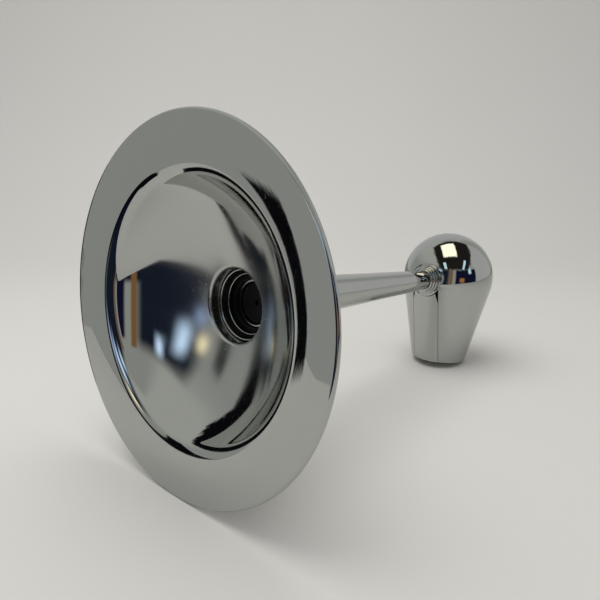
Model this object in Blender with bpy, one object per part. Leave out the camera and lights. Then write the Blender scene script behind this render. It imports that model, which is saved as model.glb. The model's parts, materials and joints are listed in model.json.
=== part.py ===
"""Round polished mirror head on a telescopic tapered arm, with a bulb-shaped swivel base.

Metres, +Z up. The origin is the centre of the base's flat foot. The bulb stands along +Z, the arm
runs along -Y at ARM_HEIGHT, and the mirror head's open face looks along -Y. Pieces on the arm line
are turned about a local Z that points along +Y, so their height is the distance behind the head's
front face.
"""

import math

import bmesh
import bpy

MM = 0.001

# ---- driving dimensions ----
HEAD_RADIUS = 100 * MM
ARM_HEIGHT = 66 * MM
FACE_TO_BASE_AXIS = 263.3 * MM
BULB_RADIUS = 34.5 * MM
FOOT_RADIUS = 21 * MM
GAP = 0.3 * MM

# ---- mirror head ----
SHEET = 1.5 * MM
RIM_BEAD_RADIUS = 1.5 * MM
NECK_RADIUS = 20.3 * MM
NECK_END = 46.2 * MM
FLANGE_LEAN = math.radians(3.5)
FLANGE_DIP = math.radians(9)
SHOULDER_SLOPE = math.radians(57)
WALL_SLOPE = math.radians(32)
LIP_SLOPE = math.radians(12.7)
# The head's section from the flange inwards: radius of each arc, negative where the arc's centre
# lies in front of the sheet, then the slope it starts with and the slope it ends with.
DISH_ARCS = (
    (150 * MM, FLANGE_LEAN, FLANGE_DIP),
    (10.5 * MM, FLANGE_DIP, SHOULDER_SLOPE),
    (-50 * MM, SHOULDER_SLOPE, WALL_SLOPE),
    (-100 * MM, WALL_SLOPE, LIP_SLOPE),
    (2.2 * MM, LIP_SLOPE, math.radians(90)),
)

# ---- ball joint, as distances behind the head's front face ----
BALL_CENTRE = 55 * MM
BALL_RADIUS = 18 * MM
BALL_BORE_RADIUS = 13.9 * MM
BALL_FRONT = 48.3 * MM
BALL_REAR = 65.5 * MM
SEAT_OUTER_RADIUS = 21.6 * MM
HOUSING_START = 37.5 * MM
HOUSING_END = 68.4 * MM
HOUSING_INNER_RADIUS = 22.15 * MM
HOUSING_OUTER_RADIUS = 23.9 * MM
HOUSING_LIP_START = 65.9 * MM
HOUSING_LIP_RADIUS = 17.8 * MM
HOUSING_SCREW_PLACE = 41 * MM
HOUSING_SCREW_RADIUS = 1.5 * MM
FRONT_SEAT_START = 46.6 * MM
FRONT_SEAT_END = 54 * MM
REAR_SEAT_START = 56 * MM
REAR_SEAT_END = 63.8 * MM
SEAT_MOUTH_RADIUS = 16.9 * MM
SEAT_TO_BALL_MIDDLE = 1 * MM
SPRING_START = 64.5 * MM
SPRING_THICKNESS = 0.6 * MM
SPRING_INNER_RADIUS = 17.4 * MM
SPRING_OUTER_RADIUS = 21.3 * MM
SPRING_WAVE_HEIGHT = 0.35 * MM
SPRING_WAVE_COUNT = 4
# Rings in the neck: radius of the ring, radius of its wire, distance behind the face.
NECK_TRIM = (19.4 * MM, 0.55 * MM, 42.6 * MM)
NECK_TRIM_OVAL = 1.6
SEAT_WIRE = (16.8 * MM, 0.45 * MM, 45.9 * MM)

# ---- telescopic arm ----
CONE_START = 50 * MM
CONE_SHANK_END = 63 * MM
CONE_END = 219 * MM
CONE_SHANK_RADIUS = 13.6 * MM
CONE_ROOT_RADIUS = 13.3 * MM
CONE_TIP_RADIUS = 7.4 * MM
CONE_WALL = 1.3 * MM
ROD_RADIUS = 3.5 * MM
ROD_START = 70.3 * MM
ROD_BACK_Y = 19 * MM
LINER_INNER_RADIUS = 4.7 * MM
LINER_OUTER_RADIUS = 5.5 * MM
LINER_START = 56.4 * MM
LINER_END = 204 * MM
SPACER_LENGTH = 6 * MM
SPACER_FRONT_START = 117 * MM
SPACER_REAR_START = 172 * MM
COLLET_BUSHING_RADIUS = 5.75 * MM
COLLET_BUSHING_START = 205 * MM
COLLET_BUSHING_END = 218.6 * MM
COLLET_RADIUS = 4.8 * MM
COLLET_START = 206 * MM
COLLET_END = 226.6 * MM
PISTON_START = 62.4 * MM
PISTON_RADIUS = 4.4 * MM
STOP_SCREW_START = 59.9 * MM
STOP_SCREW_HEAD_END = 62.1 * MM

# ---- stepped rings between the arm and the bulb ----
COLLAR_START = CONE_END + GAP
COLLAR_NECK_END = 223.3 * MM
COLLAR_END = 227.4 * MM
COLLAR_NECK_RADIUS = 6.3 * MM
COLLAR_RING_RADII = (9 * MM, 10 * MM)
COLLAR_BORE_RADIUS = 5.1 * MM
COLLAR_GROOVE_RADIUS = 8.2 * MM
COLLAR_GROOVE_WIDTH = 0.3 * MM
ESCUTCHEON_BORE_RADIUS = 4.2 * MM
SMALL_ESCUTCHEON_RADIUS = 11 * MM
SMALL_ESCUTCHEON_END = 229.2 * MM
LARGE_ESCUTCHEON_RADIUS = 12.5 * MM
LARGE_ESCUTCHEON_START = SMALL_ESCUTCHEON_END + GAP
SPIGOT_RADIUS = 10.6 * MM
SPIGOT_END = 233 * MM
SPACER_SLEEVE_RADIUS = 6.5 * MM

# ---- bulb base ----
BULB_WALL = 2 * MM
BULB_CLEARANCE = 0.6 * MM
SLOT_HALF_WIDTH = 11 * MM
SLOT_COVER_STRAIGHT_TOP = 49 * MM
SLOT_COVER_TOP = 59 * MM
SLOT_COVER_TOP_HALF_WIDTH = 8 * MM
BLOCK_HALF_WIDTH = 12 * MM
BLOCK_HALF_DEPTH = 13 * MM
BLOCK_BOTTOM = 9 * MM
BLOCK_TOP = 79 * MM
WINDOW_BOTTOM = 38 * MM
WINDOW_TOP = 54 * MM
WINDOW_HALF_DEPTH = 10 * MM
SPINDLE_RADIUS = 5 * MM
SPINDLE_TOP = 50 * MM
PLATE_RADIUS = 17.6 * MM
PLATE_THICKNESS = 4 * MM
PLATE_BOSS_RADIUS = 8 * MM
PLATE_BOSS_TOP = 7 * MM
PLATE_SCREW_CIRCLE = 12.9 * MM
PLATE_SCREW_COUNT = 3
GRUB_RADIUS = 2 * MM
SHELL_SCREW_HEIGHT = 32 * MM
SHELL_SCREW_END = 26.9 * MM
GLIDE_RING_RADIUS = 18.65 * MM
GLIDE_RING_BOTTOM = 0.6 * MM
GLIDE_RING_TOP = 3.6 * MM
SPINDLE_BORE_TOP = 45 * MM
ROD_NUT_THICKNESS = 4 * MM
ROD_NUT_ACROSS_FLATS = 13 * MM
SPINDLE_NUT_ACROSS_FLATS = 15 * MM
SPINDLE_NUT_BOTTOM = 41.3 * MM
SPINDLE_NUT_TOP = 47.3 * MM

# ---- roundness of the turned pieces, in sides per turn ----
HEAD_SIDES = 48
BULB_SIDES = 40
JOINT_SIDES = 28
SMALL_SIDES = 16

SMOOTH_ANGLE = math.radians(38)

# ---- finishes: colour, roughness, metallic ----
CHROME = ((0.62, 0.63, 0.62), 0.05, 1.0)
STEEL = ((0.48, 0.48, 0.47), 0.25, 1.0)
BRASS = ((0.62, 0.50, 0.26), 0.30, 1.0)
ZINC = ((0.40, 0.41, 0.42), 0.45, 1.0)
BLACK_NYLON = ((0.015, 0.015, 0.016), 0.45, 0.0)
WHITE_NYLON = ((0.75, 0.74, 0.70), 0.50, 0.0)


def clear_scene():
    for item in list(bpy.data.objects):
        bpy.data.objects.remove(item, do_unlink=True)


# ---------------------------------------------------------------- general helpers

def link(name, mesh):
    piece = bpy.data.objects.new(name, mesh)
    bpy.context.scene.collection.objects.link(piece)
    return piece


def guide_empty(name, location, rotation=(0.0, 0.0, 0.0)):
    empty = link(name, None)
    empty.location = location
    empty.rotation_euler = rotation
    return empty


def give_finish(piece, finish):
    colour, roughness, metallic = finish
    surface = bpy.data.materials.new(piece.name + "_finish")
    surface.use_nodes = True
    shader = surface.node_tree.nodes["Principled BSDF"]
    shader.inputs["Base Color"].default_value = (*colour, 1.0)
    shader.inputs["Roughness"].default_value = roughness
    shader.inputs["Metallic"].default_value = metallic
    piece.data.materials.append(surface)


def mesh_from(shape, name):
    bmesh.ops.recalc_face_normals(shape, faces=shape.faces)
    mesh = bpy.data.meshes.new(name)
    shape.to_mesh(mesh)
    shape.free()
    mesh.shade_smooth()
    mesh.set_sharp_from_angle(angle=SMOOTH_ANGLE)
    return mesh


def arc(centre_radius, centre_height, radius, start_deg, end_deg, steps):
    """Points of an arc in the (radius, height) plane. 0 degrees points outwards, 90 along +Z."""
    points = []
    for step in range(steps + 1):
        angle = math.radians(start_deg + (end_deg - start_deg) * step / steps)
        points.append((centre_radius + radius * math.cos(angle),
                       centre_height + radius * math.sin(angle)))
    return points


def turned(name, outline, sides):
    """Mesh of an outline of (radius, height) points turned about local Z.

    An outline that starts and ends on the axis makes a solid; any other is closed into a ring.
    """
    shape = bmesh.new()
    verts = [shape.verts.new((radius, 0.0, height)) for radius, height in outline]
    edges = [shape.edges.new(pair) for pair in zip(verts, verts[1:])]
    if outline[0][0] > 0:
        edges.append(shape.edges.new((verts[-1], verts[0])))
    bmesh.ops.spin(shape, geom=verts + edges, cent=(0, 0, 0), axis=(0, 0, 1),
                   angle=2 * math.pi, steps=sides, use_merge=True)
    bmesh.ops.remove_doubles(shape, verts=shape.verts, dist=0.001 * MM)
    return mesh_from(shape, name)


def tube(name, inner, outer, start, end, sides):
    """Mesh of a plain tube about local Z."""
    return turned(name, [(inner, start), (outer, start), (outer, end), (inner, end)], sides)


def rod(name, radius, start, end, sides):
    """Mesh of a plain rod about local Z."""
    return turned(name, [(0.0, start), (radius, start), (radius, end), (0.0, end)], sides)


def prism(name, outline, low_y, high_y):
    """Mesh of an outline of (x, z) points extruded along Y."""
    shape = bmesh.new()
    face = shape.faces.new([shape.verts.new((x, low_y, z)) for x, z in outline])
    grown = bmesh.ops.extrude_face_region(shape, geom=[face])["geom"]
    moved = [item for item in grown if isinstance(item, bmesh.types.BMVert)]
    bmesh.ops.translate(shape, verts=moved, vec=(0, high_y - low_y, 0))
    return mesh_from(shape, name)


def box(name, low, high):
    """Mesh of a box between two corners."""
    corners = [(low[0], low[2]), (high[0], low[2]), (high[0], high[2]), (low[0], high[2])]
    return prism(name, corners, low[1], high[1])


def hex_bar(name, across_flats, start, end):
    """Mesh of a hexagonal bar about local Z."""
    corner = across_flats / 2 / math.cos(math.radians(30))
    return turned(name, [(0.0, start), (corner, start), (corner, end), (0.0, end)], 6)


def place(name, mesh, parent, finish):
    piece = link(name, mesh)
    piece.parent = parent
    give_finish(piece, finish)
    return piece


def cut(piece, cutter_mesh, parent, operation="DIFFERENCE"):
    """Add a Boolean with a hidden cutter that shares the given parent."""
    cutter = link("cutter_" + cutter_mesh.name, cutter_mesh)
    cutter.parent = parent
    cutter.hide_render = True
    cutter.display_type = "WIRE"
    boolean = piece.modifiers.new(cutter.name, "BOOLEAN")
    boolean.operation = operation
    boolean.solver = "EXACT"
    boolean.object = cutter
    return cutter


def build_grub_screw(name, parent, radius, start, end):
    """A headless screw along local Z with a hexagonal socket in its far end."""
    tip = 0.4 * MM
    outline = [(0.0, start), (radius - tip, start), (radius, start + tip), (radius, end), (0.0, end)]
    screw = place(name, turned(name, outline, SMALL_SIDES), parent, STEEL)
    socket_depth = min(2 * MM, 0.6 * (end - start))
    cut(screw, hex_bar(name + "_socket", radius, end - socket_depth, end + 1 * MM), parent)
    return screw


# ---------------------------------------------------------------- mirror head

def dish_side(offset, steps_per_arc):
    """The head sheet's surface from the flange to the neck, offset backwards from the front.

    Each arc starts where the last one ended and runs tangent into it.
    """
    radius = NECK_RADIUS + sum(size * (math.sin(end) - math.sin(start))
                               for size, start, end in DISH_ARCS)
    height = (HEAD_RADIUS - RIM_BEAD_RADIUS - radius) * math.tan(FLANGE_LEAN)
    points = []
    for (size, start, end), steps in zip(DISH_ARCS, steps_per_arc):
        centre = (radius + size * math.sin(start), height + size * math.cos(start))
        for step in range(1 if points else 0, steps + 1):
            slope = start + (end - start) * step / steps
            reach = size - offset
            points.append((centre[0] - reach * math.sin(slope), centre[1] - reach * math.cos(slope)))
        radius, height = centre[0] - size * math.sin(end), centre[1] - size * math.cos(end)
    return points


def mirror_dish_mesh():
    front = dish_side(0.0, (2, 6, 4, 3, 3))
    back = dish_side(SHEET, (1, 4, 3, 2, 2))
    bead_radius = HEAD_RADIUS - RIM_BEAD_RADIUS
    bead = arc(bead_radius, RIM_BEAD_RADIUS, RIM_BEAD_RADIUS, 135, -90, 5)
    outline = [(bead_radius - 2 * RIM_BEAD_RADIUS, SHEET)] + bead + front
    outline += [(NECK_RADIUS, NECK_END), (NECK_RADIUS + SHEET, NECK_END)] + back[::-1]
    return turned("mirror_dish", outline, HEAD_SIDES)


def ball_seat_mesh(name, start, end):
    """A seat ring with a spherical pocket around the ball, open where the ball is widest."""
    pocket = BALL_RADIUS + GAP
    reach = math.degrees(math.acos(SEAT_MOUTH_RADIUS / pocket))
    near = math.degrees(SEAT_TO_BALL_MIDDLE / pocket)
    side, mouth = (-1, start) if end < BALL_CENTRE else (1, end)
    inner = arc(0.0, BALL_CENTRE, pocket, side * near, side * reach, 5) + [(SEAT_MOUTH_RADIUS, mouth)]
    outline = inner + [(SEAT_OUTER_RADIUS, mouth), (SEAT_OUTER_RADIUS, inner[0][1])]
    return turned(name, outline, JOINT_SIDES)


def swivel_ball_mesh():
    front_deg = math.degrees(math.asin((BALL_FRONT - BALL_CENTRE) / BALL_RADIUS))
    rear_deg = math.degrees(math.asin((BALL_REAR - BALL_CENTRE) / BALL_RADIUS))
    sphere = arc(0.0, BALL_CENTRE, BALL_RADIUS, front_deg, rear_deg, 8)
    outline = [(BALL_BORE_RADIUS, BALL_FRONT)] + sphere + [(BALL_BORE_RADIUS, BALL_REAR)]
    return turned("swivel_ball", outline, JOINT_SIDES)


def friction_spring_mesh():
    """A thin washer with waves round it."""
    mesh = tube("friction_spring", SPRING_INNER_RADIUS, SPRING_OUTER_RADIUS, SPRING_START,
                SPRING_START + SPRING_THICKNESS, 2 * JOINT_SIDES)
    for vert in mesh.vertices:
        turn = math.atan2(vert.co.y, vert.co.x)
        vert.co.z += SPRING_WAVE_HEIGHT * math.sin(SPRING_WAVE_COUNT * turn)
    return mesh


def socket_housing_mesh():
    chamfer, edge = 0.6 * MM, 2 * MM
    outline = [
        (HOUSING_INNER_RADIUS, HOUSING_START),
        (HOUSING_OUTER_RADIUS - chamfer, HOUSING_START),
        (HOUSING_OUTER_RADIUS, HOUSING_START + chamfer),
    ]
    outline += arc(HOUSING_OUTER_RADIUS - edge, HOUSING_END - edge, edge, 0, 90, 4)
    outline += [
        (HOUSING_LIP_RADIUS, HOUSING_END),
        (HOUSING_LIP_RADIUS, HOUSING_LIP_START),
        (HOUSING_INNER_RADIUS, HOUSING_LIP_START),
    ]
    return turned("socket_housing", outline, JOINT_SIDES)


def wire_ring_mesh(name, ring_radius, wire_radius, height, oval=1.0):
    """A ring of round wire, or of oval wire where oval isn't 1."""
    loop = [(radius, height + (z - height) * oval)
            for radius, z in arc(ring_radius, height, wire_radius, 0, 360, 6)[:-1]]
    return turned(name, loop, HEAD_SIDES)


def build_head(arm_line):
    place("mirror_dish", mirror_dish_mesh(), arm_line, CHROME)
    place("neck_trim_ring", wire_ring_mesh("neck_trim_ring", *NECK_TRIM, NECK_TRIM_OVAL), arm_line, CHROME)
    place("seat_wire_ring", wire_ring_mesh("seat_wire_ring", *SEAT_WIRE), arm_line, CHROME)
    for name, start, end in (("front_ball_seat", FRONT_SEAT_START, FRONT_SEAT_END),
                             ("rear_ball_seat", REAR_SEAT_START, REAR_SEAT_END)):
        place(name, ball_seat_mesh(name, start, end), arm_line, BLACK_NYLON)
    place("friction_spring", friction_spring_mesh(), arm_line, STEEL)
    build_housing(arm_line)


def build_housing(arm_line):
    housing = place("socket_housing", socket_housing_mesh(), arm_line, CHROME)
    screw_line = guide_empty("housing_screw_line", (0, 0, HOUSING_SCREW_PLACE), (math.radians(-90), 0, 0))
    screw_line.parent = arm_line
    hole_radius = HOUSING_SCREW_RADIUS + GAP
    hole_start, hole_end = HOUSING_INNER_RADIUS - 2 * MM, HOUSING_OUTER_RADIUS + 2 * MM
    cut(housing, rod("housing_screw_hole", hole_radius, hole_start, hole_end, SMALL_SIDES), screw_line)
    build_grub_screw("housing_grub_screw", screw_line, HOUSING_SCREW_RADIUS,
                     NECK_RADIUS + SHEET + GAP / 2, HOUSING_OUTER_RADIUS - GAP)


# ---------------------------------------------------------------- telescopic arm

def cone_radius(height):
    """Outer radius of the arm's tapered stretch at a distance behind the head's face."""
    along = (height - CONE_SHANK_END) / (CONE_END - CONE_SHANK_END)
    return CONE_ROOT_RADIUS + (CONE_TIP_RADIUS - CONE_ROOT_RADIUS) * along


def arm_cone_mesh():
    edge = 0.4 * MM
    outline = [
        (CONE_SHANK_RADIUS - edge, CONE_START),
        (CONE_SHANK_RADIUS, CONE_START + edge),
        (CONE_SHANK_RADIUS, CONE_SHANK_END - edge),
        (CONE_ROOT_RADIUS, CONE_SHANK_END),
        (cone_radius(CONE_END - 2 * edge), CONE_END - 2 * edge),
        (CONE_TIP_RADIUS - edge, CONE_END),
        (CONE_TIP_RADIUS - CONE_WALL, CONE_END),
        (CONE_ROOT_RADIUS - CONE_WALL, CONE_SHANK_END),
        (CONE_SHANK_RADIUS - CONE_WALL, CONE_START),
    ]
    return turned("arm_cone", outline, JOINT_SIDES)


def front_bush_mesh():
    bore_radius, socket_inner, socket_outer = 1.5 * MM, 5.8 * MM, 7.8 * MM
    outer = CONE_ROOT_RADIUS - CONE_WALL - GAP
    start, disc_end, socket_end = 52 * MM, 56 * MM, 62.5 * MM
    outline = [(bore_radius, start), (outer, start), (outer, disc_end), (socket_outer, disc_end),
               (socket_outer, socket_end), (socket_inner, socket_end), (socket_inner, disc_end),
               (bore_radius, disc_end)]
    return turned("front_bush", outline, SMALL_SIDES)


def build_arm(arm_line):
    place("arm_cone", arm_cone_mesh(), arm_line, CHROME)
    place("front_bush", front_bush_mesh(), arm_line, BLACK_NYLON)
    place("guide_liner", tube("guide_liner", LINER_INNER_RADIUS, LINER_OUTER_RADIUS, LINER_START,
                              LINER_END, SMALL_SIDES), arm_line, WHITE_NYLON)
    for name, start in (("liner_spacer_front", SPACER_FRONT_START),
                        ("liner_spacer_rear", SPACER_REAR_START)):
        end = start + SPACER_LENGTH
        outer = cone_radius(end) - CONE_WALL - GAP
        spacer = tube(name, LINER_OUTER_RADIUS + GAP, outer, start, end, SMALL_SIDES)
        place(name, spacer, arm_line, BLACK_NYLON)
    place("collet_bushing", tube("collet_bushing", COLLET_RADIUS + GAP, COLLET_BUSHING_RADIUS,
                                 COLLET_BUSHING_START, COLLET_BUSHING_END, SMALL_SIDES), arm_line, BRASS)
    build_collet_sleeve(arm_line)


def build_collet_sleeve(arm_line):
    """A slit sleeve that the lock collar closes on the rod."""
    sleeve = place("collet_sleeve", tube("collet_sleeve", ROD_RADIUS + GAP, COLLET_RADIUS, COLLET_START,
                                         COLLET_END, SMALL_SIDES), arm_line, BRASS)
    slit_half, slit_length, beyond = 0.4 * MM, 12 * MM, 1 * MM
    slit = box("collet_slit", (0, -slit_half, COLLET_END - slit_length),
               (COLLET_RADIUS + beyond, slit_half, COLLET_END + beyond))
    cut(sleeve, slit, arm_line)


def ring_edge(outer, start, end, steps=4):
    """The rounded outer edge of a flat ring, from its start face to its end face."""
    half = (end - start) / 2
    return arc(outer - half, start + half, half, -90, 90, steps)


def lock_collar_mesh():
    middle = (COLLAR_NECK_END + COLLAR_END) / 2
    groove_start, groove_end = middle - COLLAR_GROOVE_WIDTH / 2, middle + COLLAR_GROOVE_WIDTH / 2
    outline = [(COLLAR_BORE_RADIUS, COLLAR_START), (COLLAR_NECK_RADIUS, COLLAR_START),
               (COLLAR_NECK_RADIUS, COLLAR_NECK_END)]
    outline += ring_edge(COLLAR_RING_RADII[0], COLLAR_NECK_END, groove_start)
    outline += [(COLLAR_GROOVE_RADIUS, groove_start), (COLLAR_GROOVE_RADIUS, groove_end)]
    outline += ring_edge(COLLAR_RING_RADII[1], groove_end, COLLAR_END)
    outline += [(COLLAR_BORE_RADIUS, COLLAR_END)]
    return turned("lock_collar", outline, JOINT_SIDES)


# ---------------------------------------------------------------- bulb and what it holds

def bulb_profile(inset, bottom, steps):
    """The bulb's wall line from the foot to the top: a taper that runs tangent into a sphere."""
    foot_to_centre = math.hypot(FOOT_RADIUS, ARM_HEIGHT)
    lean = math.asin(BULB_RADIUS / foot_to_centre) - math.atan2(FOOT_RADIUS, ARM_HEIGHT)
    foot = FOOT_RADIUS - inset / math.cos(lean) + bottom * math.tan(lean)
    sphere = arc(0.0, ARM_HEIGHT, BULB_RADIUS - inset, -math.degrees(lean), 90, steps)
    sphere[-1] = (0.0, sphere[-1][1])
    return [(foot, bottom)] + sphere


def bulb_body_mesh(name, bottom):
    outer = bulb_profile(0.0, bottom, 12)
    inner = bulb_profile(BULB_WALL, bottom, 8)
    return turned(name, inner[::-1] + outer, BULB_SIDES)


def slot_outline(half_width, bottom, steps):
    """A slot that is open at the foot and ends round the arm's axis."""
    top = arc(0.0, ARM_HEIGHT, half_width, 0, 180, steps)
    return [(-half_width, bottom), (half_width, bottom)] + top


def build_bulb(base_line):
    front_y, slot_back_y = -50 * MM, -8 * MM
    below = -1 * MM
    shell = place("bulb_shell", bulb_body_mesh("bulb_shell", BULB_CLEARANCE), base_line, CHROME)
    slot = prism("bulb_slot", slot_outline(SLOT_HALF_WIDTH, below, 12), front_y, slot_back_y)
    cut(shell, slot, base_line)

    cover = place("slot_cover", bulb_body_mesh("slot_cover", GAP), base_line, CHROME)
    side = SLOT_HALF_WIDTH - GAP
    outline = [(-side, below), (side, below),
               (side, SLOT_COVER_STRAIGHT_TOP), (SLOT_COVER_TOP_HALF_WIDTH, SLOT_COVER_TOP),
               (-SLOT_COVER_TOP_HALF_WIDTH, SLOT_COVER_TOP), (-side, SLOT_COVER_STRAIGHT_TOP)]
    cut(cover, prism("cover_outline", outline, front_y, slot_back_y), base_line, "INTERSECT")
    ring_room = LARGE_ESCUTCHEON_RADIUS + 0.4 * MM
    circle = arc(0.0, ARM_HEIGHT, ring_room, 0, 360, JOINT_SIDES)[:-1]
    cut(cover, prism("cover_ring_room", circle, front_y - MM, slot_back_y + MM), base_line)

    screw_line = guide_empty("shell_screw_line", (0, 0, SHELL_SCREW_HEIGHT), (math.radians(-90), 0, 0))
    screw_line.parent = base_line
    hole_start, hole_end = SHELL_SCREW_END - 7 * MM, SHELL_SCREW_END + 5 * MM
    hole = rod("shell_screw_hole", GRUB_RADIUS + GAP, hole_start, hole_end, SMALL_SIDES)
    cut(shell, hole, screw_line)
    build_grub_screw("shell_grub_screw", screw_line, GRUB_RADIUS, BLOCK_HALF_DEPTH + GAP, SHELL_SCREW_END)


def build_block(base_line, arm_line):
    low = (-BLOCK_HALF_WIDTH, -BLOCK_HALF_DEPTH, BLOCK_BOTTOM)
    high = (BLOCK_HALF_WIDTH, BLOCK_HALF_DEPTH, BLOCK_TOP)
    block = place("anchor_block", box("anchor_block", low, high), base_line, ZINC)
    bevel = block.modifiers.new("edges", "BEVEL")
    bevel.width = 2 * MM
    bevel.segments = 2
    beyond = 8 * MM
    window = box("block_window", (low[0] - beyond, -WINDOW_HALF_DEPTH, WINDOW_BOTTOM),
                 (high[0] + beyond, WINDOW_HALF_DEPTH, WINDOW_TOP))
    cut(block, window, base_line)
    cut(block, rod("spindle_bore", SPINDLE_RADIUS + GAP, 0.0, SPINDLE_BORE_TOP, SMALL_SIDES), base_line)
    cut(block, rod("rod_screw_hole", GRUB_RADIUS + GAP, ARM_HEIGHT, BLOCK_TOP + beyond, SMALL_SIDES),
        base_line)
    bore_start = FACE_TO_BASE_AXIS - BLOCK_HALF_DEPTH - beyond
    bore_end = FACE_TO_BASE_AXIS + BLOCK_HALF_DEPTH + beyond
    cut(block, rod("rod_bore", ROD_RADIUS + GAP, bore_start, bore_end, SMALL_SIDES), arm_line)
    build_grub_screw("rod_grub_screw", base_line, GRUB_RADIUS, ARM_HEIGHT + ROD_RADIUS + 0.4 * MM,
                     BLOCK_TOP - 1 * MM)


def build_rod(arm_line):
    rod_end = FACE_TO_BASE_AXIS + ROD_BACK_Y
    screw_bore, bore_end = 1.6 * MM, ROD_START + 12 * MM
    chamfer = 0.5 * MM
    outline = [(0.0, bore_end), (screw_bore, bore_end), (screw_bore, ROD_START),
               (ROD_RADIUS - chamfer, ROD_START), (ROD_RADIUS, ROD_START + chamfer),
               (ROD_RADIUS, rod_end - chamfer), (ROD_RADIUS - chamfer, rod_end), (0.0, rod_end)]
    place("telescopic_rod", turned("telescopic_rod", outline, SMALL_SIDES), arm_line, STEEL)
    piston_bore = screw_bore + GAP
    place("rod_piston", tube("rod_piston", piston_bore, PISTON_RADIUS, PISTON_START, ROD_START - GAP,
                             SMALL_SIDES), arm_line, WHITE_NYLON)
    shank, head, screw_end = screw_bore - GAP, 3 * MM, bore_end - MM
    outline = [(0.0, STOP_SCREW_START), (head, STOP_SCREW_START), (head, STOP_SCREW_HEAD_END),
               (shank, STOP_SCREW_HEAD_END), (shank, screw_end), (0.0, screw_end)]
    place("rod_stop_screw", turned("rod_stop_screw", outline, SMALL_SIDES), arm_line, STEEL)

    nut_start = FACE_TO_BASE_AXIS + BLOCK_HALF_DEPTH + 0.4 * MM
    nut_end = nut_start + ROD_NUT_THICKNESS
    nut = place("rod_lock_nut", hex_bar("rod_lock_nut", ROD_NUT_ACROSS_FLATS, nut_start, nut_end),
                arm_line, STEEL)
    cut(nut, rod("rod_nut_bore", ROD_RADIUS + GAP, nut_start - MM, nut_end + MM, SMALL_SIDES), arm_line)


def large_escutcheon_mesh():
    """The ring against the bulb: its rim follows the sphere and its spigot enters the slot's top."""
    outer, edge = LARGE_ESCUTCHEON_RADIUS, 0.5 * MM
    seat = BULB_RADIUS + GAP

    def on_sphere(radius):
        return FACE_TO_BASE_AXIS - math.sqrt(seat ** 2 - radius ** 2)

    outline = [(ESCUTCHEON_BORE_RADIUS, LARGE_ESCUTCHEON_START)]
    outline += arc(outer - edge, LARGE_ESCUTCHEON_START + edge, edge, -90, 0, 3)
    outline += [(outer, on_sphere(outer)), (SPIGOT_RADIUS, on_sphere(SPIGOT_RADIUS)),
                (SPIGOT_RADIUS, SPIGOT_END), (ESCUTCHEON_BORE_RADIUS, SPIGOT_END)]
    return turned("large_escutcheon", outline, JOINT_SIDES)


def small_escutcheon_mesh():
    start, end = COLLAR_END + GAP, SMALL_ESCUTCHEON_END
    outline = [(ESCUTCHEON_BORE_RADIUS, start)] + ring_edge(SMALL_ESCUTCHEON_RADIUS, start, end)
    outline += [(ESCUTCHEON_BORE_RADIUS, end)]
    return turned("small_escutcheon", outline, JOINT_SIDES)


def build_rings(arm_line):
    place("lock_collar", lock_collar_mesh(), arm_line, CHROME)
    place("small_escutcheon", small_escutcheon_mesh(), arm_line, CHROME)
    place("large_escutcheon", large_escutcheon_mesh(), arm_line, CHROME)
    sleeve_end = FACE_TO_BASE_AXIS - BLOCK_HALF_DEPTH - GAP
    place("spacer_sleeve", tube("spacer_sleeve", ROD_RADIUS + GAP, SPACER_SLEEVE_RADIUS, SPIGOT_END + GAP,
                                sleeve_end, SMALL_SIDES), arm_line, BRASS)


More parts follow.
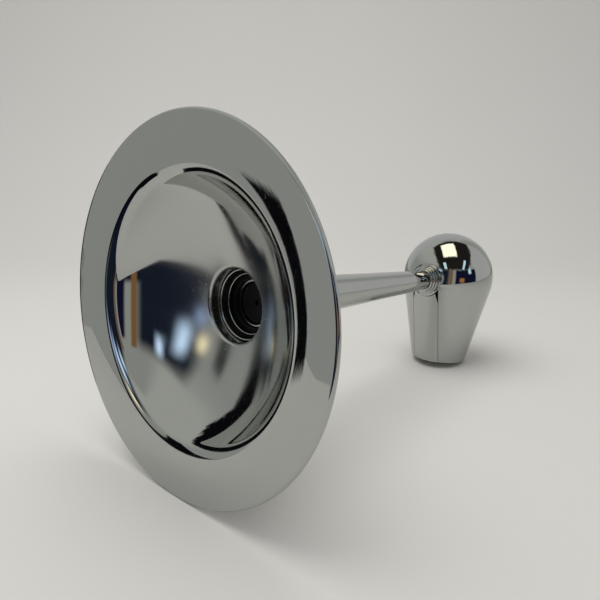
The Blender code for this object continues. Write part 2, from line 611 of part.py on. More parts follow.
def build_foot(base_line):
    hole_radius, seat_bottom = SPINDLE_RADIUS + GAP, 1.5 * MM
    chamfer = 0.4 * MM
    outline = [(0.0, 0.0), (PLATE_RADIUS - chamfer, 0.0), (PLATE_RADIUS, chamfer),
               (PLATE_RADIUS, PLATE_THICKNESS), (PLATE_BOSS_RADIUS, PLATE_THICKNESS),
               (PLATE_BOSS_RADIUS, PLATE_BOSS_TOP), (hole_radius, PLATE_BOSS_TOP),
               (hole_radius, seat_bottom), (0.0, seat_bottom)]
    plate = place("base_plate", turned("base_plate", outline, BULB_SIDES), base_line, ZINC)
    shank, head = 2.2 * MM, 4.2 * MM
    countersunk = [(0, -MM), (shank, -MM), (shank, PLATE_THICKNESS - (head - shank)),
                   (head, PLATE_THICKNESS), (head, PLATE_THICKNESS + MM), (0, PLATE_THICKNESS + MM)]
    for index in range(PLATE_SCREW_COUNT):
        angle = 2 * math.pi * index / PLATE_SCREW_COUNT
        spot = guide_empty("plate_hole_line_%d" % index, (PLATE_SCREW_CIRCLE * math.cos(angle),
                                                          PLATE_SCREW_CIRCLE * math.sin(angle), 0))
        spot.parent = base_line
        cut(plate, turned("plate_hole_%d" % index, countersunk, SMALL_SIDES), spot)

    spindle_chamfer = 0.6 * MM
    outline = [(0.0, seat_bottom + GAP), (SPINDLE_RADIUS, seat_bottom + GAP),
               (SPINDLE_RADIUS, SPINDLE_TOP - spindle_chamfer),
               (SPINDLE_RADIUS - spindle_chamfer, SPINDLE_TOP), (0.0, SPINDLE_TOP)]
    place("pivot_spindle", turned("pivot_spindle", outline, SMALL_SIDES), base_line, STEEL)
    washer_bore = SPINDLE_RADIUS + 0.4 * MM
    washers = (("thrust_washer", 11 * MM, 7.3 * MM, 8.7 * MM, WHITE_NYLON),
               ("spring_washer", 8.6 * MM, 38.4 * MM, 39.6 * MM, STEEL),
               ("spindle_washer", 9 * MM, 40 * MM, 41 * MM, STEEL))
    for name, outer, start, end, finish in washers:
        place(name, tube(name, washer_bore, outer, start, end, SMALL_SIDES), base_line, finish)
    nut = place("spindle_nut", hex_bar("spindle_nut", SPINDLE_NUT_ACROSS_FLATS, SPINDLE_NUT_BOTTOM,
                                       SPINDLE_NUT_TOP), base_line, STEEL)
    cut(nut, rod("spindle_nut_bore", hole_radius, SPINDLE_NUT_BOTTOM - MM, SPINDLE_NUT_TOP + MM,
                 SMALL_SIDES), base_line)
    place("glide_ring", tube("glide_ring", PLATE_RADIUS + GAP, GLIDE_RING_RADIUS, GLIDE_RING_BOTTOM,
                             GLIDE_RING_TOP, BULB_SIDES), base_line, BLACK_NYLON)


def build():
    clear_scene()
    base_line = guide_empty("base_line", (0, 0, 0))
    arm_line = guide_empty("arm_line", (0, -FACE_TO_BASE_AXIS, ARM_HEIGHT), (math.radians(-90), 0, 0))
    build_head(arm_line)
    place("swivel_ball", swivel_ball_mesh(), arm_line, BLACK_NYLON)
    build_arm(arm_line)
    build_rings(arm_line)
    build_rod(arm_line)
    build_bulb(base_line)
    build_block(base_line, arm_line)
    build_foot(base_line)


build()
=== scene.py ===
"""Looks of the extendable shaving mirror: fine turned pieces, finishes, studio and camera.

In the part's frame, in metres, the bulb stands along +Z on its foot, the arm runs along -Y and the
head's open face looks along -Y. Heights in the outlines of pieces on the arm line are distances behind
the head's front face.
"""

import json
import math

import bmesh
import bpy
from mathutils import Euler, Matrix, Vector

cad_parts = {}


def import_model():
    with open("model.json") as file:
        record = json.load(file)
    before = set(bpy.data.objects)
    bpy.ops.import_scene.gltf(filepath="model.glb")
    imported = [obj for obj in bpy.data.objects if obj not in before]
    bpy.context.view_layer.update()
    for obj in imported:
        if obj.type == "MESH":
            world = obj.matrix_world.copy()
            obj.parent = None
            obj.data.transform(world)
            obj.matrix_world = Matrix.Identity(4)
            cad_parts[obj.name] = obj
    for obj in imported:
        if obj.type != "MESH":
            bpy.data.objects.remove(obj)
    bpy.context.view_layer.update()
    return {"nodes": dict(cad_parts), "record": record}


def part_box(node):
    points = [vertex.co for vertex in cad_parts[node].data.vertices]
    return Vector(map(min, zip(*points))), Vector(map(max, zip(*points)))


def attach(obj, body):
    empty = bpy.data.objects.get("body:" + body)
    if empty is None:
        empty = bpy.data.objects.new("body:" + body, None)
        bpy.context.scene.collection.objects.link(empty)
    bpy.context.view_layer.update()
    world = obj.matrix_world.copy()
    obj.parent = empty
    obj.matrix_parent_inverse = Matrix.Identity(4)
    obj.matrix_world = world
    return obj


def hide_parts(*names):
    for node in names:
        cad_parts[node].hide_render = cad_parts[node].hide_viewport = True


MM = 0.001

# ---- camera: its place, and its turns about X, Y and Z in degrees ----
CAMERA_PLACE = (252.54 * MM, -461.93 * MM, 142.34 * MM)
CAMERA_TURNS = (78.38947, -4.60130, 42.33411)
CAMERA_LENS = 39
SENSOR_WIDTH = 36

# ---- paper sweep: distances along the floor and above it, from the floor below a point of the arm ----
SWEEP_START_Y = -120 * MM
SWEEP_FRONT = -1.6
SWEEP_RUN = 0.42
SWEEP_BEND = 0.45
SWEEP_RISE = 2.2
SWEEP_HALF_WIDTH = 2.2
SWEEP_BEND_STEPS = 24

# ---- mirror head, as in the CAD ----
SHEET = 1.5 * MM
RIM_BEAD_RADIUS = 1.5 * MM
FLANGE_LEAN = math.radians(3.5)
FLANGE_DIP = math.radians(9)
SHOULDER_SLOPE = math.radians(57)
WALL_SLOPE = math.radians(32)
LIP_SLOPE = math.radians(12.7)
NECK_RADIUS = 20.3 * MM
# The head's section from the flange inwards: radius of each arc, negative where the arc's centre
# lies in front of the sheet, then the slope it starts with and the slope it ends with.
DISH_ARCS = (
    (150 * MM, FLANGE_LEAN, FLANGE_DIP),
    (10.5 * MM, FLANGE_DIP, SHOULDER_SLOPE),
    (-50 * MM, SHOULDER_SLOPE, WALL_SLOPE),
    (-100 * MM, WALL_SLOPE, LIP_SLOPE),
    (2.2 * MM, LIP_SLOPE, math.radians(90)),
)

# ---- polish of the head: bright outside this radius, hazier towards the neck ----
BUFFED_RADIUS = 62 * MM
BOWL_HAZE = 0.16

# ---- bulb, as in the CAD ----
FOOT_RADIUS = 21 * MM
BULB_WALL = 2 * MM
SLOT_HALF_WIDTH = 11 * MM
GAP = 0.3 * MM
SLOT_COVER_STRAIGHT_TOP = 49 * MM
SLOT_COVER_TOP = 59 * MM
SLOT_COVER_TOP_HALF_WIDTH = 8 * MM

# ---- roundness of the fine pieces: sides per turn, then steps along their curves ----
FINE_SIDES = 288
SMALL_SIDES = 144
RING_EDGE_STEPS = 14
DISH_FRONT_STEPS = (12, 40, 24, 30, 12)
DISH_BACK_STEPS = (4, 20, 14, 18, 4)

# ---- ragged fading edges of the reflected cards, in card widths ----
STREAK_SCALE = 14
STREAK_DEPTH = 0.16
FADE_START = 0.48
FADE_END = 0.58

SMOOTH_ANGLE = math.radians(32)


# ---------------------------------------------------------------- mesh helpers

def link(name, data):
    piece = bpy.data.objects.new(name, data)
    bpy.context.scene.collection.objects.link(piece)
    return piece


def arc(centre_radius, centre_height, radius, start_deg, end_deg, steps):
    """Points of an arc in the (radius, height) plane. 0 degrees points outwards, 90 along +Z."""
    points = []
    for step in range(steps + 1):
        angle = math.radians(start_deg + (end_deg - start_deg) * step / steps)
        points.append((centre_radius + radius * math.cos(angle),
                       centre_height + radius * math.sin(angle)))
    return points


def mesh_from(shape, name):
    bmesh.ops.recalc_face_normals(shape, faces=shape.faces)
    mesh = bpy.data.meshes.new(name)
    shape.to_mesh(mesh)
    shape.free()
    mesh.shade_smooth()
    mesh.set_sharp_from_angle(angle=SMOOTH_ANGLE)
    return mesh


def turned(name, outline, sides):
    """Mesh of an outline of (radius, height) points turned about local Z."""
    shape = bmesh.new()
    verts = [shape.verts.new((radius, 0.0, height)) for radius, height in outline]
    edges = [shape.edges.new(pair) for pair in zip(verts, verts[1:])]
    if outline[0][0] > 0:
        edges.append(shape.edges.new((verts[-1], verts[0])))
    bmesh.ops.spin(shape, geom=verts + edges, cent=(0, 0, 0), axis=(0, 0, 1),
                   angle=2 * math.pi, steps=sides, use_merge=True)
    bmesh.ops.remove_doubles(shape, verts=shape.verts, dist=0.0005 * MM)
    return mesh_from(shape, name)


def prism(name, outline, low_y, high_y):
    """Mesh of an outline of (x, z) points extruded along Y."""
    shape = bmesh.new()
    face = shape.faces.new([shape.verts.new((x, low_y, z)) for x, z in outline])
    grown = bmesh.ops.extrude_face_region(shape, geom=[face])["geom"]
    moved = [item for item in grown if isinstance(item, bmesh.types.BMVert)]
    bmesh.ops.translate(shape, verts=moved, vec=(0, high_y - low_y, 0))
    return mesh_from(shape, name)


def cut(piece, cutter_mesh, operation="DIFFERENCE"):
    """Apply a Boolean to a piece's mesh, then drop the cutter."""
    cutter = link("cutter", cutter_mesh)
    boolean = piece.modifiers.new("cut", "BOOLEAN")
    boolean.operation = operation
    boolean.solver = "EXACT"
    boolean.object = cutter
    bpy.context.view_layer.update()
    evaluated = piece.evaluated_get(bpy.context.evaluated_depsgraph_get())
    piece.data = bpy.data.meshes.new_from_object(evaluated)
    piece.modifiers.clear()
    piece.data.set_sharp_from_angle(angle=SMOOTH_ANGLE)
    bpy.data.objects.remove(cutter)


# ---------------------------------------------------------------- places, read from the frame

def outer_radius(node):
    """Outer radius of a node on the arm line, from its width along X."""
    low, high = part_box(node)
    return (high[0] - low[0]) / 2


class Places:
    """Driving sizes of the frame, measured on the CAD nodes."""

    def __init__(self):
        dish_low, dish_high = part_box("mirror_dish")
        self.face_y = dish_low[1]
        self.arm_height = (dish_low[2] + dish_high[2]) / 2
        self.head_radius = (dish_high[0] - dish_low[0]) / 2
        self.neck_end = dish_high[1] - self.face_y
        shell_low, shell_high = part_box("bulb_shell")
        self.bulb_radius = (shell_high[0] - shell_low[0]) / 2
        self.bulb_centre = shell_high[2] - self.bulb_radius
        self.bulb_bottom = shell_low[2]

    def behind_face(self, node):
        """Start and end of a node on the arm line, as distances behind the head's face."""
        low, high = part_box(node)
        return low[1] - self.face_y, high[1] - self.face_y


def on_arm_line(piece, places):
    """Stand a piece turned about local Z on the arm line, its heights running along +Y."""
    turn = Matrix.Rotation(math.radians(-90), 4, "X")
    piece.data.transform(Matrix.Translation((0, places.face_y, places.arm_height)) @ turn)


def fine_piece(name, mesh, node, body, finish):
    piece = link(name, mesh)
    piece.data.materials.clear()
    piece.data.materials.append(finish)
    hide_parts(node)
    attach(piece, body)
    return piece


# ---------------------------------------------------------------- finishes

class Graph:
    """Adds nodes to a material's or a world's node tree."""

    def __init__(self, owner):
        owner.use_nodes = True
        self.nodes = owner.node_tree.nodes
        self.links = owner.node_tree.links

    def feed(self, socket, value):
        """Give a socket a plain value or another node's output."""
        if isinstance(value, bpy.types.NodeSocket):
            self.links.new(value, socket)
        else:
            socket.default_value = value

    def add(self, kind, inputs=None, **settings):
        node = self.nodes.new(kind)
        for name, value in settings.items():
            setattr(node, name, value)
        for socket, value in (inputs or {}).items():
            self.feed(node.inputs[socket], value)
        return node

    def math(self, operation, *values):
        return self.add("ShaderNodeMath", dict(enumerate(values)), operation=operation).outputs["Value"]

    def ramp(self, value, seen, given, shape="LINEAR"):
        """Carry a value from the range seen to the range given."""
        inputs = {"Value": value, "From Min": seen[0], "From Max": seen[1],
                  "To Min": given[0], "To Max": given[1]}
        return self.add("ShaderNodeMapRange", inputs, interpolation_type=shape).outputs["Result"]


class Finish(Graph):
    """A Principled material with helpers for procedural detail in object coordinates."""

    def __init__(self, name, colour, roughness, metallic):
        self.material = bpy.data.materials.new(name)
        super().__init__(self.material)
        self.shader = self.nodes["Principled BSDF"].inputs
        self.shader["Base Color"].default_value = (*colour, 1.0)
        self.shader["Roughness"].default_value = roughness
        self.shader["Metallic"].default_value = metallic
        self.coordinates = self.add("ShaderNodeTexCoord").outputs["Object"]

    def mapped(self, scale, shift=(0, 0, 0)):
        inputs = {"Vector": self.coordinates, "Location": shift, "Scale": scale}
        return self.add("ShaderNodeMapping", inputs).outputs["Vector"]

    def off_arm_line(self, places):
        """Distance from the arm's line."""
        across = self.mapped((1, 0, 1), (0, 0, -places.arm_height))
        return self.add("ShaderNodeVectorMath", {"Vector": across}, operation="LENGTH").outputs["Value"]

    def noise(self, scale, detail=3.0, stretch=(1, 1, 1)):
        inputs = {"Vector": self.mapped(stretch), "Scale": scale, "Detail": detail}
        return self.add("ShaderNodeTexNoise", inputs).outputs["Fac"]

    def roughness(self, value):
        self.feed(self.shader["Roughness"], value)

    def colour_between(self, value, dark, light):
        ramp = self.add("ShaderNodeValToRGB", {"Fac": value})
        ramp.color_ramp.elements[0].color = (*dark, 1.0)
        ramp.color_ramp.elements[1].color = (*light, 1.0)
        self.feed(self.shader["Base Color"], ramp.outputs["Color"])

    def bump(self, height, strength, distance):
        bump = self.add("ShaderNodeBump", {"Height": height, "Strength": strength, "Distance": distance})
        self.feed(self.shader["Normal"], bump.outputs["Normal"])


def plating(name):
    """Bright plating with faint smears, dust specks and a very slight waviness."""
    finish = Finish(name, (0.56, 0.57, 0.555), roughness=0.03, metallic=1.0)
    streaks = finish.noise(28, detail=4, stretch=(1, 1, 2.5))
    smears = finish.ramp(streaks, seen=(0.45, 0.75), given=(0.02, 0.06))
    specks = finish.ramp(finish.noise(900, detail=1), seen=(0.70, 0.76), given=(0.0, 0.12))
    finish.bump(finish.noise(22, detail=2), strength=0.05, distance=0.6 * MM)
    return finish, finish.math("ADD", smears, specks)


def polished_chrome():
    finish, roughness = plating("polished_chrome")
    finish.roughness(roughness)
    return finish.material


def head_chrome(places):
    """The same plating, buffed less and less towards the bottom of the head's bowl."""
    finish, roughness = plating("head_chrome")
    haze = finish.ramp(finish.off_arm_line(places), seen=(NECK_RADIUS, BUFFED_RADIUS), given=(BOWL_HAZE, 0.0))
    finish.roughness(finish.math("ADD", roughness, haze))
    return finish.material


def turning_marks(finish, scale, smooth, rough):
    """Fine marks across the arm's line, like the rings a lathe leaves on the pieces that lie along it."""
    marks = finish.noise(scale, detail=2, stretch=(1, 6, 1))
    finish.roughness(finish.ramp(marks, seen=(0.3, 0.7), given=(smooth, rough)))
    finish.bump(finish.noise(1500, detail=2, stretch=(1, 8, 1)), strength=0.15, distance=0.1 * MM)


def turned_steel():
    finish = Finish("turned_steel", (0.48, 0.48, 0.47), roughness=0.28, metallic=1.0)
    turning_marks(finish, scale=400, smooth=0.22, rough=0.36)
    return finish.material


def turned_brass():
    finish = Finish("turned_brass", (0.62, 0.48, 0.22), roughness=0.3, metallic=1.0)
    finish.colour_between(finish.noise(160), dark=(0.50, 0.36, 0.15), light=(0.68, 0.53, 0.26))
    turning_marks(finish, scale=500, smooth=0.24, rough=0.40)
    return finish.material


def cast_zinc():
    finish = Finish("cast_zinc", (0.36, 0.37, 0.38), roughness=0.5, metallic=0.9)
    finish.colour_between(finish.noise(90, detail=5), dark=(0.27, 0.28, 0.29), light=(0.44, 0.45, 0.46))
    finish.roughness(finish.ramp(finish.noise(220), seen=(0.3, 0.7), given=(0.42, 0.62)))
    finish.bump(finish.noise(1200, detail=4), strength=0.35, distance=0.2 * MM)
    return finish.material


def nylon(name, dark, light, gloss):
    finish = Finish(name, light, roughness=0.45, metallic=0.0)
    finish.shader["Specular IOR Level"].default_value = gloss
    finish.colour_between(finish.noise(260, detail=3), dark, light)
    finish.roughness(finish.ramp(finish.noise(350), seen=(0.3, 0.7), given=(0.36, 0.52)))
    finish.bump(finish.noise(2600, detail=2), strength=0.2, distance=0.1 * MM)
    return finish.material


def paper(name, brightness):
    dark = [part * brightness for part in (0.73, 0.72, 0.675)]
    light = [part * brightness for part in (0.76, 0.75, 0.705)]
    finish = Finish(name, light, roughness=0.8, metallic=0.0)
    finish.colour_between(finish.noise(3, detail=2), dark, light)
    finish.bump(finish.noise(700, detail=3), strength=0.1, distance=0.2 * MM)
    return finish.material


def soft_glow(name, colour):
    """A glow, dim or bright, that fades out in ragged streaks at the card's four edges."""
    material = bpy.data.materials.new(name)
    graph = Graph(material)
    graph.nodes.clear()
    place = graph.add("ShaderNodeTexCoord").outputs["Generated"]
    parts = graph.add("ShaderNodeSeparateXYZ", {"Vector": place}).outputs
    streaks = graph.add("ShaderNodeTexNoise", {"Vector": place, "Scale": STREAK_SCALE}).outputs["Fac"]
    fades = []
    for axis in ("X", "Z"):
        off_middle = graph.math("ABSOLUTE", graph.math("SUBTRACT", parts[axis], 0.5))
        ragged = graph.math("MULTIPLY_ADD", streaks, STREAK_DEPTH, off_middle)
        fades.append(graph.ramp(ragged, (FADE_START, FADE_END), (1.0, 0.0), "SMOOTHSTEP"))
    glow = graph.add("ShaderNodeEmission", {"Color": (*colour, 1.0)}).outputs["Emission"]
    clear = graph.add("ShaderNodeBsdfTransparent").outputs["BSDF"]
    blend = graph.add("ShaderNodeMixShader", {"Fac": graph.math("MULTIPLY", *fades), 1: clear, 2: glow})
    graph.add("ShaderNodeOutputMaterial", {"Surface": blend.outputs["Shader"]})
    return material


# ---------------------------------------------------------------- mirror head

def dish_side(places, offset, steps_per_arc):
    """The head sheet's surface from the flange to the neck, offset backwards from the front.

    Each arc starts where the last one ended and runs tangent into it.
    """
    radius = NECK_RADIUS + sum(size * (math.sin(end) - math.sin(start))
                               for size, start, end in DISH_ARCS)
    height = (places.head_radius - RIM_BEAD_RADIUS - radius) * math.tan(FLANGE_LEAN)
    points = []
    for (size, start, end), steps in zip(DISH_ARCS, steps_per_arc):
        centre = (radius + size * math.sin(start), height + size * math.cos(start))
        for step in range(1 if points else 0, steps + 1):
            slope = start + (end - start) * step / steps
            reach = size - offset
            points.append((centre[0] - reach * math.sin(slope), centre[1] - reach * math.cos(slope)))
        radius, height = centre[0] - size * math.sin(end), centre[1] - size * math.cos(end)
    return points


def along(start, end, steps):
    """Points on the straight line after start, up to and with end."""
    return [(start[0] + (end[0] - start[0]) * step / steps,
             start[1] + (end[1] - start[1]) * step / steps) for step in range(1, steps + 1)]


def mirror_dish(places, chrome):
    front = dish_side(places, 0.0, DISH_FRONT_STEPS)
    back = dish_side(places, SHEET, DISH_BACK_STEPS)
    bead_radius = places.head_radius - RIM_BEAD_RADIUS
    bead = arc(bead_radius, RIM_BEAD_RADIUS, RIM_BEAD_RADIUS, 150, -90, steps=24)
    neck = along(front[-1], (NECK_RADIUS, places.neck_end), steps=4)
    bead_seat = (bead_radius - 2 * RIM_BEAD_RADIUS, SHEET + 0.1 * MM)
    outline = [bead_seat] + bead
    outline += along(bead[-1], front[0], steps=12)[:-1] + front + neck
    outline += [(NECK_RADIUS + SHEET, places.neck_end)] + back[::-1]
    piece = fine_piece("mirror_head", turned("mirror_head", outline, FINE_SIDES), "mirror_dish",
                       "head", chrome)
    on_arm_line(piece, places)


def oval_ring(name, node, places, body, chrome):
    """A ring of round or oval wire that fills the CAD ring's box."""
    start, end = places.behind_face(node)
    half_height = (end - start) / 2
    wire = min(half_height, 0.55 * MM)
    major = outer_radius(node) - wire
    loop = [(radius, start + half_height + (height - start - half_height) * half_height / wire)
            for radius, height in arc(major, start + half_height, wire, 0, 360, steps=24)[:-1]]
    piece = fine_piece(name, turned(name, loop, SMALL_SIDES), node, body, chrome)
    on_arm_line(piece, places)


def socket_housing(places, chrome):
    start, end = places.behind_face("socket_housing")
    outer = outer_radius("socket_housing")
    inner, lip, lip_start = outer - 1.75 * MM, outer - 6.1 * MM, end - 2.5 * MM
    edge, bevel, lip_edge = 2 * MM, 0.6 * MM, 0.4 * MM
    outline = [(inner, start), (outer - bevel, start), (outer, start + bevel)]
    outline += along((outer, start + bevel), (outer, end - edge), steps=6)[:-1]
    outline += arc(outer - edge, end - edge, edge, 0, 90, steps=16)
    outline += arc(lip + lip_edge, end - lip_edge, lip_edge, 90, 180, steps=6)
    outline += [(lip, lip_start), (inner, lip_start)]
    piece = fine_piece("ball_housing", turned("ball_housing", outline, FINE_SIDES),
                       "socket_housing", "head", chrome)
    on_arm_line(piece, places)


# ---------------------------------------------------------------- arm

def arm_cone(places, chrome):
    start, end = places.behind_face("arm_cone")
    shank = outer_radius("arm_cone")
    root, tip, wall, shank_end, edge = 13.3 * MM, 7.4 * MM, 1.3 * MM, start + 13 * MM, 0.5 * MM
    outline = [(shank - edge, start)] + arc(shank - edge, start + edge, edge, -90, 0, steps=6)[1:]
    outline += [(shank, shank_end - edge), (root, shank_end)]
    tip_start = (tip + 0.03 * MM, end - edge)
    outline += along((root, shank_end), tip_start, steps=40)
    outline += arc(tip - edge, end - edge, edge, 0, 90, steps=8)
    outline += [(tip - wall, end), (root - wall, shank_end), (shank - wall, start)]
    piece = fine_piece("arm_tube", turned("arm_tube", outline, FINE_SIDES), "arm_cone", "arm",
                       chrome)
    on_arm_line(piece, places)


def ring_edge(outer, start, end):
    """The rounded outer edge of a flat ring, from its start face to its end face."""
    half = (end - start) / 2
    return arc(outer - half, start + half, half, -90, 90, RING_EDGE_STEPS)


def lock_collar(places, chrome):
    start, end = places.behind_face("lock_collar")
    inner, neck, groove, slit = 5.1 * MM, 6.3 * MM, 8.2 * MM, 0.15 * MM
    neck_end = start + 4 * MM
    middle = (neck_end + end) / 2
    outer = outer_radius("lock_collar")
    outline = [(inner, start), (neck, start), (neck, neck_end)]
    outline += ring_edge(outer - 1 * MM, neck_end, middle - slit)
    outline += [(groove, middle - slit), (groove, middle + slit)]
    outline += ring_edge(outer, middle + slit, end) + [(inner, end)]
    piece = fine_piece("collar_rings", turned("collar_rings", outline, SMALL_SIDES), "lock_collar",
                       "collar", chrome)
    on_arm_line(piece, places)


def small_escutcheon(places, chrome):
    start, end = places.behind_face("small_escutcheon")
    inner = 4.2 * MM
    outline = [(inner, start)] + ring_edge(outer_radius("small_escutcheon"), start, end) + [(inner, end)]
    piece = fine_piece("small_ring", turned("small_ring", outline, SMALL_SIDES), "small_escutcheon",
                       "swivel", chrome)
    on_arm_line(piece, places)


def large_escutcheon(places, chrome):
    start, end = places.behind_face("large_escutcheon")
    outer = outer_radius("large_escutcheon")
    inner, spigot, edge = 4.2 * MM, 10.6 * MM, 0.5 * MM
    seat = places.bulb_radius + GAP

    def on_sphere(radius):
        return -places.face_y - math.sqrt(seat ** 2 - radius ** 2)

    outline = [(inner, start)] + arc(outer - edge, start + edge, edge, -90, 0, steps=8)
    outline += [(outer, on_sphere(outer)), (spigot, on_sphere(spigot)), (spigot, end), (inner, end)]
    piece = fine_piece("large_ring", turned("large_ring", outline, SMALL_SIDES), "large_escutcheon",
                       "swivel", chrome)
    on_arm_line(piece, places)


# ---------------------------------------------------------------- bulb

def bulb_profile(places, inset, bottom, steps):
    """The bulb's wall line from the foot to the top: a taper that runs tangent into a sphere."""
    foot_to_centre = math.hypot(FOOT_RADIUS, places.bulb_centre)
    lean = math.asin(places.bulb_radius / foot_to_centre) - math.atan2(FOOT_RADIUS, places.bulb_centre)
    foot = FOOT_RADIUS - inset / math.cos(lean) + bottom * math.tan(lean)
    sphere = arc(0.0, places.bulb_centre, places.bulb_radius - inset, -math.degrees(lean), 90, steps)
    sphere[-1] = (0.0, sphere[-1][1])
    return [(foot, bottom)] + along((foot, bottom), sphere[0], steps // 2)[:-1] + sphere


def bulb_body(places, name, bottom):
    edge = 0.35 * MM
    outer = bulb_profile(places, 0.0, bottom + edge, steps=72)
    inner = bulb_profile(places, BULB_WALL, bottom, steps=24)
    rounding = arc(outer[0][0] - edge, bottom + edge, edge, -90, 0, steps=5)[:-1]
    return turned(name, inner[::-1] + rounding + outer, FINE_SIDES)


def bulb(places, chrome):
    front_y, slot_back_y, below = -50 * MM, -8 * MM, -1 * MM
    shell = fine_piece("bulb_cover", bulb_body(places, "bulb_cover", places.bulb_bottom),
                       "bulb_shell", "swivel", chrome)
    top = arc(0.0, places.bulb_centre, SLOT_HALF_WIDTH, 0, 180, steps=48)
    slot = prism("slot", [(-SLOT_HALF_WIDTH, below), (SLOT_HALF_WIDTH, below)] + top,
                 front_y, slot_back_y)
    cut(shell, slot)
    screw_low, screw_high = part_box("shell_grub_screw")
    hole_radius = (screw_high[0] - screw_low[0]) / 2 + GAP
    height = (screw_low[2] + screw_high[2]) / 2
    circle = arc(0.0, height, hole_radius, 0, 360, steps=48)[:-1]
    cut(shell, prism("hole", circle, low_y=20 * MM, high_y=40 * MM))

    cover = fine_piece("slot_strip", bulb_body(places, "slot_strip", GAP), "slot_cover", "swivel",
                       chrome)
    side = SLOT_HALF_WIDTH - GAP
    outline = [(-side, below), (side, below), (side, SLOT_COVER_STRAIGHT_TOP),
               (SLOT_COVER_TOP_HALF_WIDTH, SLOT_COVER_TOP), (-SLOT_COVER_TOP_HALF_WIDTH, SLOT_COVER_TOP),
               (-side, SLOT_COVER_STRAIGHT_TOP)]
    cut(cover, prism("strip", outline, front_y, slot_back_y), "INTERSECT")
    ring_room = outer_radius("large_escutcheon") + 0.4 * MM
    circle = arc(0.0, places.arm_height, ring_room, 0, 360, steps=96)[:-1]
    cut(cover, prism("ring_room", circle, front_y - MM, slot_back_y + MM))


# ---------------------------------------------------------------- pieces kept from the CAD

def finish_cad_nodes(frame, finishes):
    slots = {entry["node"]: entry["material_slot"] for entry in frame["record"]["subparts"]}
    for name, node in frame["nodes"].items():
        node.data.materials.clear()
        node.data.materials.append(finishes[slots[name]])
        node.data.shade_smooth()
        node.data.set_sharp_from_angle(angle=SMOOTH_ANGLE)


# ---------------------------------------------------------------- studio

class Studio:
    """Paper sweep, reflected cards and camera.

    The floor lies under the foot's far edge and the head's lowest point. It doesn't follow a pose.
    """

    def __init__(self, places):
        foot_edge = Vector((0, FOOT_RADIUS, 0))
        head_low = Vector((0, places.face_y, places.arm_height - places.head_radius))
        self.up = Vector((1, 0, 0)).cross(foot_edge - head_low).normalized()
        self.floor_point = foot_edge
        turns = [math.radians(angle) for angle in CAMERA_TURNS]
        self.camera_turn = Euler(turns).to_matrix().to_4x4()
        self.right = (self.camera_turn @ Vector((0, 0, -1))).cross(self.up).normalized()
        self.back = self.up.cross(self.right)

    def on_floor(self, point):
        return point - self.up * (point - self.floor_point).dot(self.up)

    def sweep(self, material):
        """A paper floor that curves up into a backdrop behind the object."""
        line = [(SWEEP_FRONT, 0.0), (0.0, 0.0)]
        for step in range(SWEEP_BEND_STEPS + 1):
            angle = math.pi / 2 * step / SWEEP_BEND_STEPS
            line.append((SWEEP_RUN + SWEEP_BEND * math.sin(angle), SWEEP_BEND * (1 - math.cos(angle))))
        line.append((SWEEP_RUN + SWEEP_BEND, SWEEP_RISE))
        start = self.on_floor(Vector((0, SWEEP_START_Y, 0)))
        corners = [start + self.back * depth + self.up * height + self.right * side
                   for depth, height in line for side in (-SWEEP_HALF_WIDTH, SWEEP_HALF_WIDTH)]
        faces = [(left, left + 1, left + 3, left + 2) for left in range(0, len(corners) - 2, 2)]
        mesh = bpy.data.meshes.new("paper_sweep")
        mesh.from_pydata(corners, [], faces)
        mesh.shade_smooth()
        mesh.materials.append(material)
        sweep = link("paper_sweep", mesh)
        sweep.visible_glossy = False

    def reflected_card(self, name, corners, material, place=Matrix.Identity(4)):
        """A card that the camera doesn't see and the polished pieces reflect."""
        mesh = bpy.data.meshes.new(name)
        mesh.from_pydata(corners, [], [(0, 1, 2, 3)])
        mesh.materials.append(material)
        card = link(name, mesh)
        card.matrix_world = place
        card.visible_camera = False
        card.visible_shadow = False
        card.visible_diffuse = False

    def reflected_floor(self, front_y, material):
        """The floor that the polished pieces show: the sheet ends a little before the head."""
        half_width, back_y, lift = 1.2, 0.8, 0.1 * MM
        corners = [self.on_floor(Vector((x, y, 0))) + self.up * lift
                   for x, y in ((-half_width, front_y), (half_width, front_y),
                                (half_width, back_y), (-half_width, back_y))]
        self.reflected_card("reflected_floor", corners, material)

    def upright_card(self, name, eye, azimuths, distances, heights, material):
        """An upright card between two azimuths from a point (x, y), in degrees from -Y towards +X."""
        foot = [(eye[0] + distance * math.sin(math.radians(azimuth)),
                 eye[1] - distance * math.cos(math.radians(azimuth)))
                for azimuth, distance in zip(azimuths, distances)]
        corners = [(*foot[0], heights[0]), (*foot[1], heights[0]),
                   (*foot[1], heights[1]), (*foot[0], heights[1])]
        self.reflected_card(name, corners, material)

    def facing_card(self, name, eye, bearing, distance, across, upward, material):
        """A card square to a bearing from a point; across and upward are its edges' distances."""
        corners = [(across[0], 0, upward[0]), (across[1], 0, upward[0]),
                   (across[1], 0, upward[1]), (across[0], 0, upward[1])]
        azimuth, elevation = (math.radians(angle) for angle in bearing)
        turn = Matrix.Rotation(azimuth, 4, "Z") @ Matrix.Rotation(-elevation, 4, "X")
        place = Matrix.Translation(eye) @ turn @ Matrix.Translation((0, -distance, 0))
        self.reflected_card(name, corners, material, place)

    def camera(self):
        data = bpy.data.cameras.new("camera")
        data.lens = CAMERA_LENS
        data.sensor_width = SENSOR_WIDTH
        camera = link("camera", data)
        camera.matrix_world = Matrix.Translation(CAMERA_PLACE) @ self.camera_turn
        bpy.context.scene.camera = camera


def key_light(place, aim, size, watts):
    light = bpy.data.lights.new("key_light", "AREA")
    light.shape = "DISK"
    light.size = size
    light.energy = watts
    lamp = link("key_light", light)
    lamp.visible_glossy = False
    lamp.location = place
    lamp.rotation_euler = (Vector(aim) - Vector(place)).to_track_quat("-Z", "Y").to_euler()


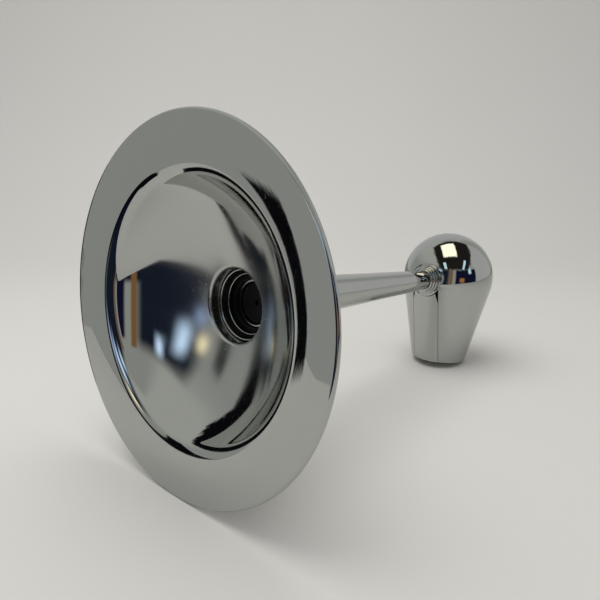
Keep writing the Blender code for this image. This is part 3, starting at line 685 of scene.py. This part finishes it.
class Room(Graph):
    """World seen in the polished pieces: soft-edged patches placed by azimuth and elevation.

    Azimuth is in degrees from -Y towards +X. Other rays see a plain pale room.
    """

    def __init__(self, grey):
        world = bpy.data.worlds.new("room")
        bpy.context.scene.world = world
        super().__init__(world)
        self.nodes.clear()
        direction = self.add("ShaderNodeTexCoord").outputs["Generated"]
        parts = self.add("ShaderNodeSeparateXYZ", {"Vector": direction}).outputs
        forward = self.math("MULTIPLY", parts["Y"], -1.0)
        self.azimuth = self.math("DEGREES", self.math("ARCTAN2", parts["X"], forward))
        self.elevation = self.math("DEGREES", self.math("ARCSINE", parts["Z"]))
        self.colour = (*grey, 1.0)

    def between(self, angle, limits, softness):
        """1 between two angles and 0 outside them, with a soft step at each."""
        low, high = limits
        rising = self.ramp(angle, (low - softness, low + softness), (0.0, 1.0), "SMOOTHSTEP")
        falling = self.ramp(angle, (high - softness, high + softness), (1.0, 0.0), "SMOOTHSTEP")
        return self.math("MULTIPLY", rising, falling)

    def patch(self, azimuths, elevations, colour, softness):
        """Paint a soft-edged patch between two azimuths and two elevations."""
        amount = self.math("MULTIPLY", self.between(self.azimuth, azimuths, softness),
                           self.between(self.elevation, elevations, softness))
        inputs = {"Factor": amount, "A": self.colour, "B": (*colour, 1.0)}
        self.colour = self.add("ShaderNodeMix", inputs, data_type="RGBA").outputs["Result"]

    def finish(self, plain, strength):
        detailed = self.add("ShaderNodeBackground", {"Color": self.colour})
        pale = self.add("ShaderNodeBackground", {"Color": (*plain, 1.0), "Strength": strength})
        rays = self.add("ShaderNodeLightPath").outputs["Is Glossy Ray"]
        blend = self.add("ShaderNodeMixShader", {"Fac": rays, 1: pale.outputs["Background"],
                                                 2: detailed.outputs["Background"]})
        self.add("ShaderNodeOutputWorld", {"Surface": blend.outputs["Shader"]})


def room_around():
    side_wall, daylight = (0.50, 0.50, 0.49), (1.0, 1.3, 1.7)
    room = Room((0.35, 0.36, 0.34))
    room.patch((-110, 10), (26, 80), (0.48, 0.49, 0.45), 12)      # paler upper left
    room.patch((-170, -92), (-20, 60), side_wall, 8)
    room.patch((100, 170), (-20, 60), side_wall, 8)
    room.patch((-34, 105), (-80, -16), (0.006, 0.007, 0.022), 3)  # dark below the paper's front edge
    room.patch((-24, 33), (-26, 27), (0.011, 0.016, 0.028), 7)    # dark room in front
    room.patch((34, 41), (-26, 30), (0.25, 0.13, 0.05), 1.5)      # brown post
    room.patch((49, 105), (-50, 25), (0.008, 0.009, 0.030), 2)    # dark room at the right
    room.patch((3, 10), (14, 25), daylight, 5)                    # windows and lamps
    room.patch((-14, -6), (2, 17), daylight, 5)
    room.patch((-23, -17), (-6, 0), (0.6, 0.8, 1.3), 4)
    room.patch((-27, -21), (5, 11), (2.2, 1.9, 1.2), 4)
    room.patch((84, 92), (16, 44), (0.7, 1.0, 1.1), 2)
    room.patch((60, 72), (-4, 6), (0.45, 0.20, 0.06), 2)          # brown patch in the dark room
    room.finish(plain=(0.97, 0.965, 0.99), strength=0.53)


def lit_ceiling(studio, bulb_middle):
    """A dark ceiling with bright panels, so near the bulb that the bowl in the head doesn't see it."""
    bearing, ceiling_distance, panel_distance = (45, 62), 0.18, 0.17
    dark = soft_glow("dark_ceiling", (0.018, 0.016, 0.014))
    warm = soft_glow("warm_panel", (1.9, 1.8, 1.4))
    cool = soft_glow("cool_panel", (0.8, 1.1, 1.2))
    studio.facing_card("ceiling", bulb_middle, bearing, ceiling_distance,
                       across=(-0.16, 0.15), upward=(-0.15, 0.20), material=dark)
    for name, across, upward, glow in (("ceiling_panel", (-0.075, 0.02), (-0.02, 0.13), warm),
                                       ("left_strip", (-0.09, -0.065), (-0.12, -0.05), cool),
                                       ("right_strip", (0.06, 0.08), (-0.12, -0.03), cool)):
        studio.facing_card(name, bulb_middle, bearing, panel_distance, across, upward, glow)


def black_beside_head(studio, places):
    """Something black close by on the left, as two upright cards with a gap between them."""
    black = soft_glow("black_card", (0.004, 0.004, 0.005))
    right_of_face = (83 * MM, places.face_y)
    studio.upright_card("left_black", right_of_face, azimuths=(-53.5, -61), distances=(0.30, 0.30),
                        heights=(-40 * MM, 100 * MM), material=black)
    studio.upright_card("side_black", right_of_face, azimuths=(-74, -122), distances=(0.30, 0.22),
                        heights=(-55 * MM, 150 * MM), material=black)


def build_studio(places):
    studio = Studio(places)
    studio.sweep(paper("paper", 1.0))
    studio.reflected_floor(places.face_y - 270 * MM, paper("shaded_paper", 0.80))
    room_around()
    key_light(place=(-0.16, -0.32, 0.85), aim=(0.03, -0.21, 0), size=0.85, watts=4.5)
    black_beside_head(studio, places)
    lit_ceiling(studio, Vector((0, 0, places.arm_height)))
    studio.camera()
    bpy.context.scene.view_settings.view_transform = "Standard"


def build():
    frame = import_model()
    places = Places()
    chrome = polished_chrome()
    finishes = {
        "chrome_plate": chrome,
        "steel": turned_steel(),
        "brass": turned_brass(),
        "cast_zinc": cast_zinc(),
        "black_nylon": nylon("black_nylon", (0.003, 0.003, 0.003), (0.008, 0.008, 0.008), 0.15),
        "white_nylon": nylon("white_nylon", (0.66, 0.65, 0.61), (0.80, 0.79, 0.75), 0.5),
    }
    finish_cad_nodes(frame, finishes)
    mirror_dish(places, head_chrome(places))
    oval_ring("trim_ring", "neck_trim_ring", places, "head", chrome)
    oval_ring("wire_ring", "seat_wire_ring", places, "head", chrome)
    socket_housing(places, chrome)
    arm_cone(places, chrome)
    lock_collar(places, chrome)
    small_escutcheon(places, chrome)
    large_escutcheon(places, chrome)
    bulb(places, chrome)
    build_studio(places)


build()
